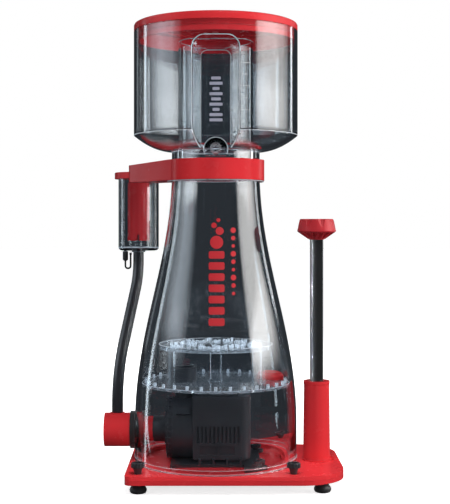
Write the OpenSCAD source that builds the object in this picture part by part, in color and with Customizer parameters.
// Protein skimmer: a clear body tapering from a base plate to a neck, a pump inside it, a
// collection cup on top, a standpipe at +X and an air silencer at -X, +Y. Millimetres, +Z up.
// Parts are drawn about the body's axis, then place() moves them so the feet stand on z = 0.
// Heights in the script are from a datum 2.6 above the floor. The front is -Y.

/* [Body] */
// Outer radius of the clear body at its foot
body_r = 96.6; // [94:0.2:97]
// Outer radius of the clear body at its neck
neck_r = 52.65; // [50:0.05:53]
// Wall of the clear body
wall = 3.8; // [3:0.2:4.4]

/* [Collection cup] */
// Outer radius of the collection cup
cup_r = 98; // [96:0.5:104]
// Height of the cup's top rim above the datum
cup_top = 531; // [520:1:545]
// Height of the riser tube's top above the datum
riser_top = 518; // [480:1:520]

/* [Level control] */
// Outer diameter of the level rod
rod_d = 16; // [14:0.5:18]
// Height of the knob's underside above the datum
knob_z = 282.8; // [260:0.2:300]

/* [Air path] */
// Outer diameter of the air hose
hose_d = 13.4; // [12:0.2:15]
// Outer radius of the silencer jar
jar_r = 25.5; // [24:0.5:26]

/* [Bubble plate] */
// Spacing of the holes round each ring of the upper plate
hole_pitch = 6; // [5:0.5:9]
// Slots round the rim of the lower plate
slot_count = 32; // [20:1:36]

/* [Hidden] */
origin = [-7.5, -6.1, 2.6];
floor_z = -origin.z;

// Base plates and their fixings
plate_t = 5;
base_z = 9;
flange_z = base_z + plate_t;
deck_z = flange_z + plate_t;
feet = [[-87.5, -82], [-87.5, 82], [121, -77], [121, 77]];
base_screws = [for (x = [-88, 88], y = [-82, 82]) [x, y]];
screw_hole_r = 2.6;
o_ring_r = 89.5;
o_ring_section = 0.7;

// Pump: levels, and radii and stations along its X axis
pump_z = 55;
pump_screws = [[50, -52], [50, 32]];
foot_t = 4;
foot_top = flange_z + foot_t;
motor_z = foot_top + 4;
motor_top = 100;
volute_r = 40;
suction_bore_r = 13;
suction_x = -74.7;
rotor_well_r = 13.6;
bushing_r = 5;
shaft_r = 2;
outlet_x = -38.3;
outlet_r = 15.5;
cable_r = 3.5;
gland_r = 5;

// Pipe through the body wall, and the hose from it to the silencer
grommet_r = 19;
intake_r = 16;
spigot_r = 5;
spigot_bore_r = 3.5;
hose_foot = [-117.9, 0];
hose_z = 75.5;
hose_top = 266;
nipple_at = [-98, 79];
hose_span = nipple_at - hose_foot;
hose_run = norm(hose_span);

// Silencer and the arm that carries it
jar_at = [-97.9, 80];
jar_z = 268;
jar_top = 358.5;
plug_at = jar_at - [16.8, 0];
downtube_bore_r = 10.8;
arm_z = 353.3;
arm_top = 377.6;

// Diffuser
diffuser_z = 110;
drum_z = 113;
drum_top = 153;
plug_r = 7;

// Standpipe and level rod
standpipe_at = [121, 0];
standpipe_bore_r = 12.9;
bush_z = 106.5;
bush_r = 11;
rod_r = rod_d / 2;

// Cup
neck_top = 366;
cup_z = 352;
cup_neck_r = 52.6;
riser_r = 45.2;
cup_wall = 4;
cup_seal_z = 358.8;
drain_z = 387;
recess_wall = 2.5;
bowl_radii = [for (i = [0:8]) cup_neck_r + i * (cup_r - cup_neck_r) / 8];

red = [0.78, 0.12, 0.14];
black = [0.07, 0.07, 0.08];
clear = [0.75, 0.82, 0.88, 0.35];
steel = [0.75, 0.76, 0.78];
off_white = [0.9, 0.9, 0.88];

$fn = 96;

// Shared shapes and placings
module place() { translate(origin) children(); }
module at(spot, z = 0) { translate([spot.x, spot.y, z]) children(); }
module at_each(spots) { for (spot = spots) at(spot) children(); }
module around(count, start = 0) {
  for (i = [0:count - 1]) rotate([0, 0, start + i * 360 / count]) children();
}
module turn_on_pump(angle) { translate([0, 0, pump_z]) rotate([angle, 0, 0]) children(); }
module around_pump(count) { for (i = [0:count - 1]) turn_on_pump(i * 360 / count) children(); }
module zcyl(r, z0, z1) { translate([0, 0, z0]) cylinder(r = r, h = z1 - z0); }
// Cylinder on the pump's axis
module xcyl(r, x0, x1) {
  translate([x0, 0, pump_z]) rotate([0, 90, 0]) cylinder(r = r, h = x1 - x0);
}
module tube(outer_r, inner_r, z0, z1) {
  difference() {
    zcyl(outer_r, z0, z1);
    zcyl(inner_r, z0 - 1, z1 + 1);
  }
}
module torus(ring_r, section_r) {
  rotate_extrude() translate([ring_r, 0]) circle(r = section_r, $fn = 48);
}

// Base plate outline: small corners at -X, large ones at +X
module outline(z) {
  half_w = 97.5;
  left = -94.5; // corner centres
  right = 95;
  small_r = 8;
  big_r = 53;
  small_y = half_w - small_r;
  big_y = half_w - big_r;
  translate([0, 0, z]) {
    translate([left, -half_w, 0]) cube([right - left, 2 * half_w, plate_t]);
    translate([left - small_r, -small_y, 0])
      cube([right - left + small_r, 2 * small_y, plate_t]);
    for (side = [-1, 1]) {
      translate([left, side * small_y, 0]) cylinder(r = small_r, h = plate_t);
      translate([right, side * big_y, 0]) cylinder(r = big_r, h = plate_t);
    }
    translate([right, -big_y, 0]) cube([big_r, 2 * big_y, plate_t]);
  }
}

module base_plate() {
  channel_x = 74;
  channel_w = 26;
  color(red) place() difference() {
    outline(base_z);
    translate([0, 0, flange_z - 2 * o_ring_section])
      tube(o_ring_r + 0.8, o_ring_r - 0.8, 0, 3);
    // Channel from the body to the standpipe, open upwards at both ends
    translate([channel_x, -channel_w / 2, 9.9])
      cube([standpipe_at.x - channel_x, channel_w, 2.2]);
    at(standpipe_at) zcyl(standpipe_bore_r, 9.9, 12.1);
    translate([channel_x, -channel_w / 2, 10]) cube([8, channel_w, 6]);
    at(standpipe_at) zcyl(standpipe_bore_r, 10, 16);
    at_each(base_screws) zcyl(screw_hole_r, 12, 20);
    at_each(feet) zcyl(1.6, 8, 12);
    at_each(pump_screws) zcyl(2, 10, 16);
  }
}

module flange_plate() {
  color(red) place() difference() {
    outline(flange_z);
    zcyl(86, 13, 21);
    at(standpipe_at) zcyl(standpipe_bore_r, 13, 21);
    at_each(base_screws) zcyl(screw_hole_r, 13, 21);
  }
}

module base_o_ring() {
  color(black) place() translate([0, 0, flange_z - o_ring_section])
    torus(o_ring_r, o_ring_section);
}

// [radius, height above the floor]
foot_profile = [[0, 0], [6.6, 0], [8.5, 0.7], [9.5, 2.2], [9.9, 4], [9.5, 5.6], [8.5, 7.3],
  [7.1, 9], [6, 10.4], [5.6, base_z - floor_z], [0, base_z - floor_z]];
foot_seat = 4; // depth of the screw's counterbore

module rubber_feet() {
  color(black) place() at_each(feet) translate([0, 0, floor_z]) difference() {
    rotate_extrude() polygon(foot_profile);
    zcyl(3.6, -1, foot_seat);
    zcyl(1.6, 0, 14);
  }
}

module foot_screws() {
  color(steel) place() at_each(feet) translate([0, 0, floor_z]) {
    zcyl(3.4, foot_seat - 1.8, foot_seat);
    zcyl(1.55, foot_seat - 0.4, 14.4);
  }
}

// Thumbscrew standing on z = 0, its head grooved round the rim
module thumbscrew(head_r, head_h, neck_h, stud_r, grooves) {
  stud_l = 6.5;
  bevel = 1;
  bevel_z = neck_h + head_h - bevel;
  difference() {
    union() {
      cylinder(r1 = head_r * 0.45, r2 = head_r * 0.72, h = neck_h);
      zcyl(head_r, neck_h, bevel_z);
      translate([0, 0, bevel_z]) cylinder(r1 = head_r, r2 = head_r - bevel, h = bevel);
    }
    around(grooves) translate([head_r + 0.5, 0, neck_h - 0.5])
      cylinder(r = 1.15, h = head_h + 1);
    translate([0, 0, bevel_z - 0.4]) cylinder(r = head_r * 0.55, h = 2);
  }
  zcyl(stud_r, -stud_l, 1);
}

module base_thumbscrews() {
  color(black) place() at_each(base_screws) translate([0, 0, deck_z])
    thumbscrew(head_r = 7.8, head_h = 5.5, neck_h = 7.5, stud_r = 2.55, grooves = 14);
}

// Body's outer radius along its taper, half a cosine wave 300 long
taper_z = 66;
taper_end = 342; // last station, just short of the wave's end
taper_step = 12;
function body_at(z) = neck_r + (body_r - neck_r) * (1 + cos(180 * (z - taper_z) / 300)) / 2;

module body_shell() {
  ledge_r = 57.6;
  ledge_z = 351.6;
  outer = concat(
    [[body_r + 0.6, deck_z], [body_r + 0.6, 25], [body_r, 26]],
    [for (z = [taper_z:taper_step:taper_end]) [body_at(z), z]],
    [[neck_r, ledge_z], [ledge_r, ledge_z], [ledge_r, arm_z], [neck_r, arm_z],
      [neck_r, neck_top]]);
  inner = concat(
    [[neck_r - wall, neck_top]],
    [for (z = [taper_end:-taper_step:taper_z]) [body_at(z) - wall, z]],
    [[body_r - wall, deck_z]]);
  color(clear) place() difference() {
    rotate_extrude() polygon(concat(outer, inner));
    xcyl(grommet_r, -110, -80);
    on_cable_axis() zcyl(gland_r, 80, 120);
  }
}

module inlet_grommet() {
  lip_r = 22.3;
  color(black) place() difference() {
    union() {
      xcyl(lip_r, -102, -body_r);
      xcyl(grommet_r, -body_r, -88);
      xcyl(lip_r, -88.5, -85);
    }
    xcyl(intake_r, -110, -80);
  }
}

// Pipe with a flared mouth outside the body and a hose spigot on top
module intake_pipe() {
  mouth_r = 20;
  mouth_bore_r = 14;
  color(red) place() difference() {
    union() {
      xcyl(mouth_r, -133, -102);
      xcyl(intake_r, -102, suction_x);
      at(hose_foot) zcyl(spigot_r, 70, 84.5);
      at(hose_foot) zcyl(8.5, 70, hose_z);
    }
    xcyl(suction_bore_r, -110, -70);
    xcyl(mouth_bore_r, -140, -104);
    translate([-134, 0, pump_z]) rotate([0, 90, 0])
      cylinder(r1 = mouth_r, r2 = mouth_bore_r, h = 6);
    at(hose_foot) zcyl(spigot_bore_r, 60, 90);
  }
}

// S-shaped hose path as [run, height, lean from upright]
function hose_path() = let (
    lean = 36,
    low_z = 85,
    low_r = 120,
    high_r = 63,
    low_run = low_r * (1 - cos(lean)),
    high_run = hose_run - high_r * (1 - cos(lean)),
    high_z = low_z + (low_r + high_r) * sin(lean) + (high_run - low_run) / tan(lean))
  concat(
    [[0, hose_z, 0]],
    [for (q = [0:4:lean]) [low_r * (1 - cos(q)), low_z + low_r * sin(q), q]],
    [for (q = [lean:-4:0]) [hose_run - high_r * (1 - cos(q)), high_z - high_r * sin(q), q]],
    [[hose_run, hose_top, 0]]);

// Hollow tube along a path in the XZ plane
module swept(path, outer_r, inner_r, sides) {
  last = (len(path) - 1) * sides;
  inside = len(path) * sides; // index of the first inner point
  points = [for (r = [outer_r, inner_r], p = path, j = [0:sides - 1])
    let (t = j * 360 / sides)
    [p[0] + r * cos(t) * cos(p[2]), r * sin(t), p[1] - r * cos(t) * sin(p[2])]];
  // Each band of faces joins two rings, given by their first points
  bands = concat(
    [for (i = [0:sides:last - 1]) [i, i + sides]],
    [for (i = [0:sides:last - 1]) [inside + i + sides, inside + i]],
    [[inside, 0], [last, inside + last]]);
  faces = [for (band = bands, j = [0:sides - 1])
    let (k = (j + 1) % sides)
    [band[0] + j, band[1] + j, band[1] + k, band[0] + k]];
  polyhedron(points, faces, 4);
}

module air_hose() {
  color(black) place() at(hose_foot) rotate([0, 0, atan2(hose_span.y, hose_span.x)])
    swept(hose_path(), hose_d / 2, spigot_r + 0.05, sides = 32);
}

// Arm from the neck to the silencer, grown by a gap where it cuts another part
module arm_prism(gap, z0, z1) {
  translate([0, 0, z0]) {
    linear_extrude(z1 - z0) polygon([[-52.9 - gap, -24.5], [-106.6 - gap, 47.6],
      [-107.9 - gap, 50], [-108.3 - gap, 53], [-108.3 - gap, 87], [-103.3, 92 + gap],
      [-88 + gap, 92 + gap], [-40 + gap, 42.3 + gap], [0, 0]]);
    translate([-103.3, 87, 0]) cylinder(r = 5 + gap, h = z1 - z0);
  }
}

module collar_arm() {
  color(red) place() difference() {
    union() {
      zcyl(58.2, arm_z, arm_top);
      arm_prism(0, arm_z, arm_top);
    }
    zcyl(neck_r, 350, 380);
    at(jar_at) zcyl(downtube_bore_r, 350, 362);
    translate([0, 0, arm_top - 1]) cylinder(r1 = neck_r, r2 = neck_r + 1.2, h = 1.2);
    // Slopes the arm's top down away from the collar
    translate([-56, 0, arm_top]) rotate([0, -3.6, 0]) translate([-120, -100, 0])
      cube([120, 300, 20]);
  }
}

module silencer_jar() {
  r = jar_r;
  z = jar_z;
  color(clear) place() difference() {
    union() {
      at(jar_at) rotate_extrude() polygon([[0, z], [r - 4, z], [r - 2, z + 0.5],
        [r - 0.6, z + 2], [r, z + 4], [r, jar_top], [r - 3, jar_top], [r - 3, z + 5],
        [r - 4.5, z + 3.5], [0, z + 3.5]]);
      at(nipple_at) {
        zcyl(spigot_r, 257.5, 281);
        zcyl(9, hose_top, z + 0.5);
      }
      at(plug_at) zcyl(2.2, 260, z + 0.5);
    }
    at(nipple_at) zcyl(spigot_bore_r, 250, 290);
    at(plug_at) zcyl(1, 255, 280);
    arm_prism(0.1, arm_z - 0.1, 362);
  }
}

module silencer_lid() {
  lid_r = 30.2;
  side_h = 7.2;
  color(red) place() difference() {
    at(jar_at, jar_top) {
      cylinder(r = lid_r, h = side_h);
      translate([0, 0, side_h]) cylinder(r1 = lid_r, r2 = lid_r - 1, h = 0.9);
    }
    arm_prism(0, 350, 370);
  }
}

// Tube from the arm down into the jar, slotted at its lower end
module downtube() {
  color(red) place() at(jar_at) difference() {
    tube(13.8, downtube_bore_r, 280.6, arm_z);
    around(6, 30) translate([8, -1.5, 279]) cube([8, 3, 9]);
  }
}

module ozone_plug() {
  color(black) place() at(plug_at) difference() {
    union() {
      zcyl(3.5, 256, 267);
      zcyl(2.6, 255, 256.5);
    }
    zcyl(2.25, 260, 268);
  }
}

// U-shaped strap hanging from the plug
module plug_tether() {
  strap_r = 1.2;
  bend_r = 3.3;
  bend_z = 248.6;
  color(black) place() at(plug_at) {
    translate([bend_r, 0, bend_z]) rotate([90, 0, 0]) rotate([0, 0, 180])
      rotate_extrude(angle = 180) translate([bend_r, 0]) circle(r = strap_r, $fn = 32);
    zcyl(strap_r, bend_z, 255);
    translate([2 * bend_r, 0, 0]) {
      zcyl(strap_r, bend_z, 265);
      zcyl(1.6, 262.5, 265.4);
    }
  }
}

// Pump foot, with two rails under the motor and four ribs along the front
module foot_plate() {
  color(black) place() difference() {
    union() {
      translate([-53, -48, flange_z]) cube([96, 90, foot_t]);
      translate([33, -62, flange_z]) cube([20, 104, foot_t]);
      at_each(pump_screws) zcyl(10, flange_z, foot_top);
      for (x = [-22, 14]) translate([x, -34, foot_top]) cube([20, 68, 4]);
      for (x = [-20:16:28]) translate([x, -48, foot_top]) cube([2.4, 8, 6]);
    }
    xcyl(volute_r + 0.2, -60, -26);
    at_each(pump_screws) zcyl(2.2, 13, 20);
  }
}

module pump_thumbscrews() {
  color(black) place() at_each(pump_screws) translate([0, 0, foot_top])
    thumbscrew(head_r = 7, head_h = 5, neck_h = 3.5, stud_r = 2, grooves = 12);
}

module motor_housing() {
  side_h = motor_top - motor_z;
  corner_r = 12;
  corner_y = 28;
  color(black) place() difference() {
    union() {
      translate([-27, -40, motor_z]) cube([56, 80, side_h]);
      translate([20, -corner_y, motor_z]) cube([21, 2 * corner_y, side_h]);
      for (side = [-1, 1]) translate([29, side * corner_y, motor_z])
        cylinder(r = corner_r, h = side_h);
      translate([-20.5, -36, motor_top]) cube([46.5, 72, 4]);
      translate([-4, -20, motor_top + 4]) cube([24, 40, 2.5]);
    }
    // Upright slots in the front and back faces
    for (i = [0:10], y = [-41, 37.5]) translate([-22 + i * 4.7, y, 44]) cube([2.3, 3.5, 21]);
    // Shallow panels in the front face: [x, width]
    for (panel = [[-18.5, 21.5], [4.5, 17.1]])
      translate([panel[0], -41, 28]) cube([panel[1], 3, 12]);
    xcyl(rotor_well_r, -28, 30);
    xcyl(bushing_r, 29, 34);
    xcyl(34, -28, -26.5);
  }
}

module volute_housing() {
  color(black) place() difference() {
    union() {
      xcyl(volute_r, -49.7, -27);
      translate([outlet_x, 0, 0]) zcyl(10.9, 80, 101);
      for (angle = [50, -50]) turn_on_pump(angle) translate([-46, -4, 36]) cube([16, 8, 6]);
    }
    xcyl(35.5, -52, -30);
    xcyl(rotor_well_r, -32, -26);
    translate([outlet_x, 0, 0]) zcyl(8.1, 70, 104);
  }
}

// Ribbed cover with the suction nozzle
module volute_cover() {
  face_x = -58.5;
  rim_x = -49.7;
  color(black) place() difference() {
    union() {
      xcyl(volute_r - 1, face_x, rim_x);
      xcyl(volute_r, -57, -55.5);
      xcyl(volute_r, -52, rim_x);
      xcyl(17, suction_x, -58);
      xcyl(21, -61, -58);
      around_pump(30) translate([face_x, -0.9, 37]) cube([rim_x - face_x, 1.8, 3]);
    }
    xcyl(33, -55, -49);
    xcyl(suction_bore_r, -80, -50);
  }
}

module pump_outlet_pipe() {
  color(black) place() translate([outlet_x, 0, 0]) difference() {
    union() {
      zcyl(outlet_r, 101, 130);
      zcyl(19, 107, diffuser_z);
    }
    zcyl(8.5, 100, 108);
    zcyl(12.5, 107.5, 131);
  }
}

// Disc carrying rings of pins round a hub
module impeller() {
  pin_rings = [[12, 8], [17, 12], [22, 16]]; // [radius, pins]
  color(red) place() difference() {
    union() {
      xcyl(24, -36, -33.5);
      xcyl(6, -50, -33.5);
      for (ring = pin_rings) around_pump(ring[1])
        translate([-48, 0, ring[0]]) rotate([0, 90, 0]) cylinder(r = 0.9, h = 13);
    }
    xcyl(shaft_r, -55, -30);
  }
}

module rotor_magnet() {
  color(steel) place() difference() {
    xcyl(12.8, -24, 26);
    xcyl(shaft_r, -30, 30);
  }
}

module impeller_shaft() {
  color(off_white) place() xcyl(shaft_r, -56.5, 33);
}

// Plain bushing at the motor end, and one held by three spokes at the suction end
module shaft_bushings() {
  front_x = -58.4;
  color(black) place() difference() {
    union() {
      xcyl(bushing_r, 29, 34);
      xcyl(4.5, front_x, -54);
      difference() {
        xcyl(suction_bore_r, front_x, front_x + 3.2);
        xcyl(11.4, -59, -54);
      }
      around_pump(3) translate([front_x, -1.2, 3.5]) cube([3.2, 2.4, 8.5]);
    }
    xcyl(shaft_r + 0.05, 28, 33.4);
    xcyl(shaft_r + 0.05, -57, -53);
  }
}

// Turns local z to +Y along the power cable
module on_cable_axis() { translate([20, 0, 60]) rotate([-90, 0, 0]) children(); }

module power_cable() {
  color(black) place() on_cable_axis() zcyl(cable_r, 40, 108);
}

module cable_gland() {
  color(black) place() on_cable_axis() difference() {
    union() {
      zcyl(9, 96.3, 102.3, $fn = 6);
      translate([0, 0, 102.3]) cylinder(r1 = 7, r2 = gland_r, h = 4);
      zcyl(gland_r, 86, 97);
      zcyl(8, 82, 86.5);
    }
    zcyl(cable_r, 80, 110);
  }
}

module diffuser_plate() {
  color(clear) place() difference() {
    zcyl(88, diffuser_z, drum_z);
    translate([outlet_x, 0, 0]) zcyl(outlet_r, 109, 115);
    around(slot_count, 180 / slot_count) translate([81, -1.6, 109]) cube([10, 3.2, 6]);
    at_cap() zcyl(plug_r, 109, 115);
  }
}

module diffuser_drum() {
  color(clear) place() {
    tube(59, 56.5, drum_z, drum_top);
    tube(59.7, 58.9, drum_z, drum_z + 2.5);
  }
}

module diffuser_top() {
  color(clear) place() difference() {
    union() {
      zcyl(68, drum_top, drum_top + 3);
      tube(68, 66, drum_top + 2.5, drum_top + 5);
    }
    // Each ring is turned half a pitch more than the one inside it
    for (i = [0:4]) {
      ring_r = 27 + 7 * i;
      holes = round(2 * PI * ring_r / hole_pitch);
      around(holes, i * 180 / holes) translate([ring_r, 0, 152]) cylinder(r = 1.2, h = 8);
    }
  }
}

module diffuser_post() {
  post_r = 7;
  tip_r = 4.5;
  color(clear) place() {
    zcyl(post_r, drum_z, 146);
    translate([0, 0, 146]) cylinder(r1 = post_r, r2 = tip_r, h = 4);
    zcyl(tip_r, 149.5, drum_top);
    zcyl(8.5, drum_z, 116);
  }
}

module at_cap() { rotate([0, 0, 20]) translate([73.4, 0, 0]) children(); }

// Oblong cap with a bevelled top, plugged into the lower plate
module outlet_cap() {
  cap_r = 13.2;
  top_r = 9.6;
  end_y = 5.5;
  side_h = 4.6;
  color(red) place() at_cap() {
    translate([-cap_r, -end_y, drum_z]) cube([2 * cap_r, 2 * end_y, side_h]);
    for (y = [-end_y, end_y]) translate([0, y, drum_z]) {
      cylinder(r = cap_r, h = side_h);
      translate([0, 0, side_h]) cylinder(r1 = cap_r, r2 = top_r, h = 3.6);
    }
    translate([-top_r, -end_y, 117]) cube([2 * top_r, 2 * end_y, 4.2]);
    zcyl(plug_r, 106, 113.5);
  }
}

// Side opening on +Y, through both standpipe and gate sleeve
module side_port() { translate([0, 0, 78]) rotate([-90, 0, 0]) cylinder(r = 8, h = 30); }

module standpipe() {
  color(red) place() at(standpipe_at) difference() {
    union() {
      translate([0, 0, deck_z]) cylinder(r1 = 16.2, r2 = 15.2, h = 91.6);
      zcyl(15.6, 110, 113.6);
      zcyl(17.4, deck_z, 21);
      translate([10, -3, deck_z]) cube([10.5, 6, 4]);
    }
    zcyl(standpipe_bore_r, 18, bush_z);
    zcyl(bush_r, 100, 115);
    side_port();
  }
}

module rod_bush() {
  color(red) place() at(standpipe_at) tube(bush_r, rod_r + 0.05, bush_z, 113.2);
}

knob_screw_r = 1.95;

module level_rod() {
  color(black) place() at(standpipe_at) difference() {
    zcyl(rod_r, 101, knob_z + 8);
    zcyl(knob_screw_r, knob_z - 3, knob_z + 9);
  }
}

// Sleeve on the rod's lower end, sliding in the standpipe
module gate_sleeve() {
  color(black) place() at(standpipe_at) difference() {
    zcyl(12.84, 56, 104);
    zcyl(10.4, 55, 101);
    zcyl(rod_r, 100, 105);
    side_port();
  }
}

// [radius, height above the knob's underside]
knob_profile = [[0, 0], [9.5, 0], [10, 3], [12.5, 5.5], [17, 7.6], [22.4, 8.8], [23.2, 10.2],
  [22.6, 13], [21.4, 19], [20.4, 23.2], [19.4, 24.6], [0, 24.6]];
knob_rib = [[8, 0.8], [10.5, 0.8], [21.8, 8.6], [21, 10], [8, 10]];

// Knob with ribs underneath and flared scallops round the rim
module level_knob() {
  rib_t = 1.6;
  color(red) place() at(standpipe_at, knob_z) difference() {
    union() {
      rotate_extrude() polygon(knob_profile);
      around(16) rotate([90, 0, 0]) translate([0, 0, -rib_t / 2])
        linear_extrude(rib_t) polygon(knob_rib);
    }
    around(8, 12) translate([24.6, 0, 10.5]) cylinder(r1 = 0.4, r2 = 8, h = 16);
    zcyl(rod_r, -1, 8);
    zcyl(knob_screw_r + 0.05, 7, 27);
    zcyl(5, 22, 27);
  }
}

module knob_screw() {
  color(steel) place() at(standpipe_at, knob_z) difference() {
    union() {
      zcyl(4.4, 22, 24.4);
      zcyl(knob_screw_r, -2, 22.5);
    }
    translate([-3.5, -0.5, 23.4]) cube([7, 1, 3]);
  }
}

// Height of the cup's dished underside at a radius
function bowl(r) = 388 + 19 * pow((r - cup_neck_r) / (cup_r - cup_neck_r), 2);
underside = [for (r = bowl_radii) [r, bowl(r)]];

// Recess in the cup's front: an arch from the front, narrowing and lowering to the back
module recess_shape(grow) {
  half_w = 27 + grow;
  arch_r = 14 + grow;
  back_y = -60 + grow;
  bottom = 372;
  top = 513 + grow;
  intersection() {
    // Plan
    translate([0, 0, 370]) linear_extrude(170)
      polygon([[-30 - grow, -120], [30 + grow, -120], [half_w, -97], [17 + grow, back_y],
        [-17 - grow, back_y], [-half_w, -97]]);
    // Side view as [y, z]
    translate([-50, 0, 0]) rotate([90, 0, 90]) linear_extrude(100)
      polygon([[-120, 522 + grow], [back_y, 501 + grow], [back_y, bottom], [-120, bottom]]);
    // Front view
    translate([0, -30, 0]) rotate([90, 0, 0]) linear_extrude(100) union() {
      translate([-half_w, bottom]) square([2 * half_w, top - arch_r - bottom]);
      translate([-half_w + arch_r, 400]) square([2 * (half_w - arch_r), top - 400]);
      for (side = [-1, 1]) translate([side * (half_w - arch_r), top - arch_r])
        circle(r = arch_r);
    }
  }
}

// Solid shape of the cup's outside
module cup_envelope() {
  rotate_extrude() polygon(concat([[40, 384], [cup_neck_r, 384]], underside,
    [[cup_r, cup_top], [40, cup_top]]));
}

module cup_shell() {
  spigot = 48.4; // radius of the part inside the body's neck
  color(clear) place() difference() {
    rotate_extrude() polygon(concat(
      [[riser_r, cup_z], [spigot, cup_z], [spigot, neck_top], [cup_neck_r, neck_top]],
      underside,
      [[cup_r, cup_top], [cup_r - cup_wall, cup_top], [cup_r - cup_wall, 412]],
      [for (i = [7:-1:1]) underside[i] + [-1, 4.4]],
      [[49, 392.2], [49, 396], [riser_r, 396]]));
    tube(50, 46.2, cup_seal_z - 1.3, cup_seal_z + 1.3);
    recess_shape(recess_wall);
    drain_bore();
  }
}

// Turns local z to -Y along the drain, starting at y
module on_drain_axis(y) { translate([0, y, drain_z]) rotate([90, 0, 0]) children(); }

// Bore along the drain, with a short shaft rising from it
module drain_bore() {
  on_drain_axis(-53.6) cylinder(r = 4, h = 42);
  translate([0, -55.6, drain_z]) cylinder(r = 2.6, h = 8);
}

module cup_recess() {
  color(clear) place() difference() {
    intersection() {
      recess_shape(recess_wall);
      cup_envelope();
    }
    recess_shape(0);
    drain_bore();
  }
}

module riser_tube() {
  color(clear) place() tube(riser_r, 42.2, cup_z, riser_top);
}

module cup_seal() {
  color(black) place() translate([0, 0, cup_seal_z]) torus(47.52, 1.28);
}

module drain_nozzle() {
  nozzle_r = 6.15;
  color(clear) place() difference() {
    union() {
      intersection() {
        on_drain_axis(-50) cylinder(r = 14, h = 12);
        translate([-20, -70, 379.6]) cube([40, 25, 30]);
      }
      on_drain_axis(-57.6) cylinder(r = nozzle_r, h = 22);
      on_drain_axis(-79.6) cylinder(r1 = nozzle_r, r2 = 5.5, h = 3);
    }
    drain_bore();
    zcyl(cup_neck_r, 370, 400);
    translate([-40, -60, 388]) cube([80, 30, 40]);
  }
}

// Lid with a skirt inside the cup, grooved for its seal
module cup_lid() {
  r = cup_r;
  z = cup_top;
  skirt_r = r - 4.06;
  skirt_z = 518.5;
  color(red) place() difference() {
    union() {
      rotate_extrude() polygon([[0, z + 5], [r - 7, z + 5], [r - 7, skirt_z],
        [skirt_r, skirt_z], [skirt_r, z], [r, z], [r, z + 6.5], [r - 0.8, z + 8.2],
        [r - 2.4, z + 9], [0, z + 9]]);
      tube(70, 68, z + 3, z + 5.5);
    }
    tube(r - 3.9, r - 5.6, z - 6.8, z - 5.2);
  }
}

module lid_seal() {
  color(red) place() translate([0, 0, cup_top - 6]) torus(cup_r - 4.82, 0.78);
}

base_plate();
flange_plate();
base_o_ring();
rubber_feet();
foot_screws();
base_thumbscrews();
body_shell();
inlet_grommet();
intake_pipe();
air_hose();
silencer_jar();
silencer_lid();
downtube();
collar_arm();
ozone_plug();
plug_tether();
foot_plate();
pump_thumbscrews();
motor_housing();
volute_housing();
volute_cover();
pump_outlet_pipe();
impeller();
rotor_magnet();
impeller_shaft();
shaft_bushings();
power_cable();
cable_gland();
diffuser_plate();
diffuser_drum();
diffuser_top();
diffuser_post();
outlet_cap();
standpipe();
rod_bush();
level_rod();
level_knob();
knob_screw();
gate_sleeve();
cup_shell();
cup_recess();
riser_tube();
cup_seal();
drain_nozzle();
cup_lid();
lid_seal();
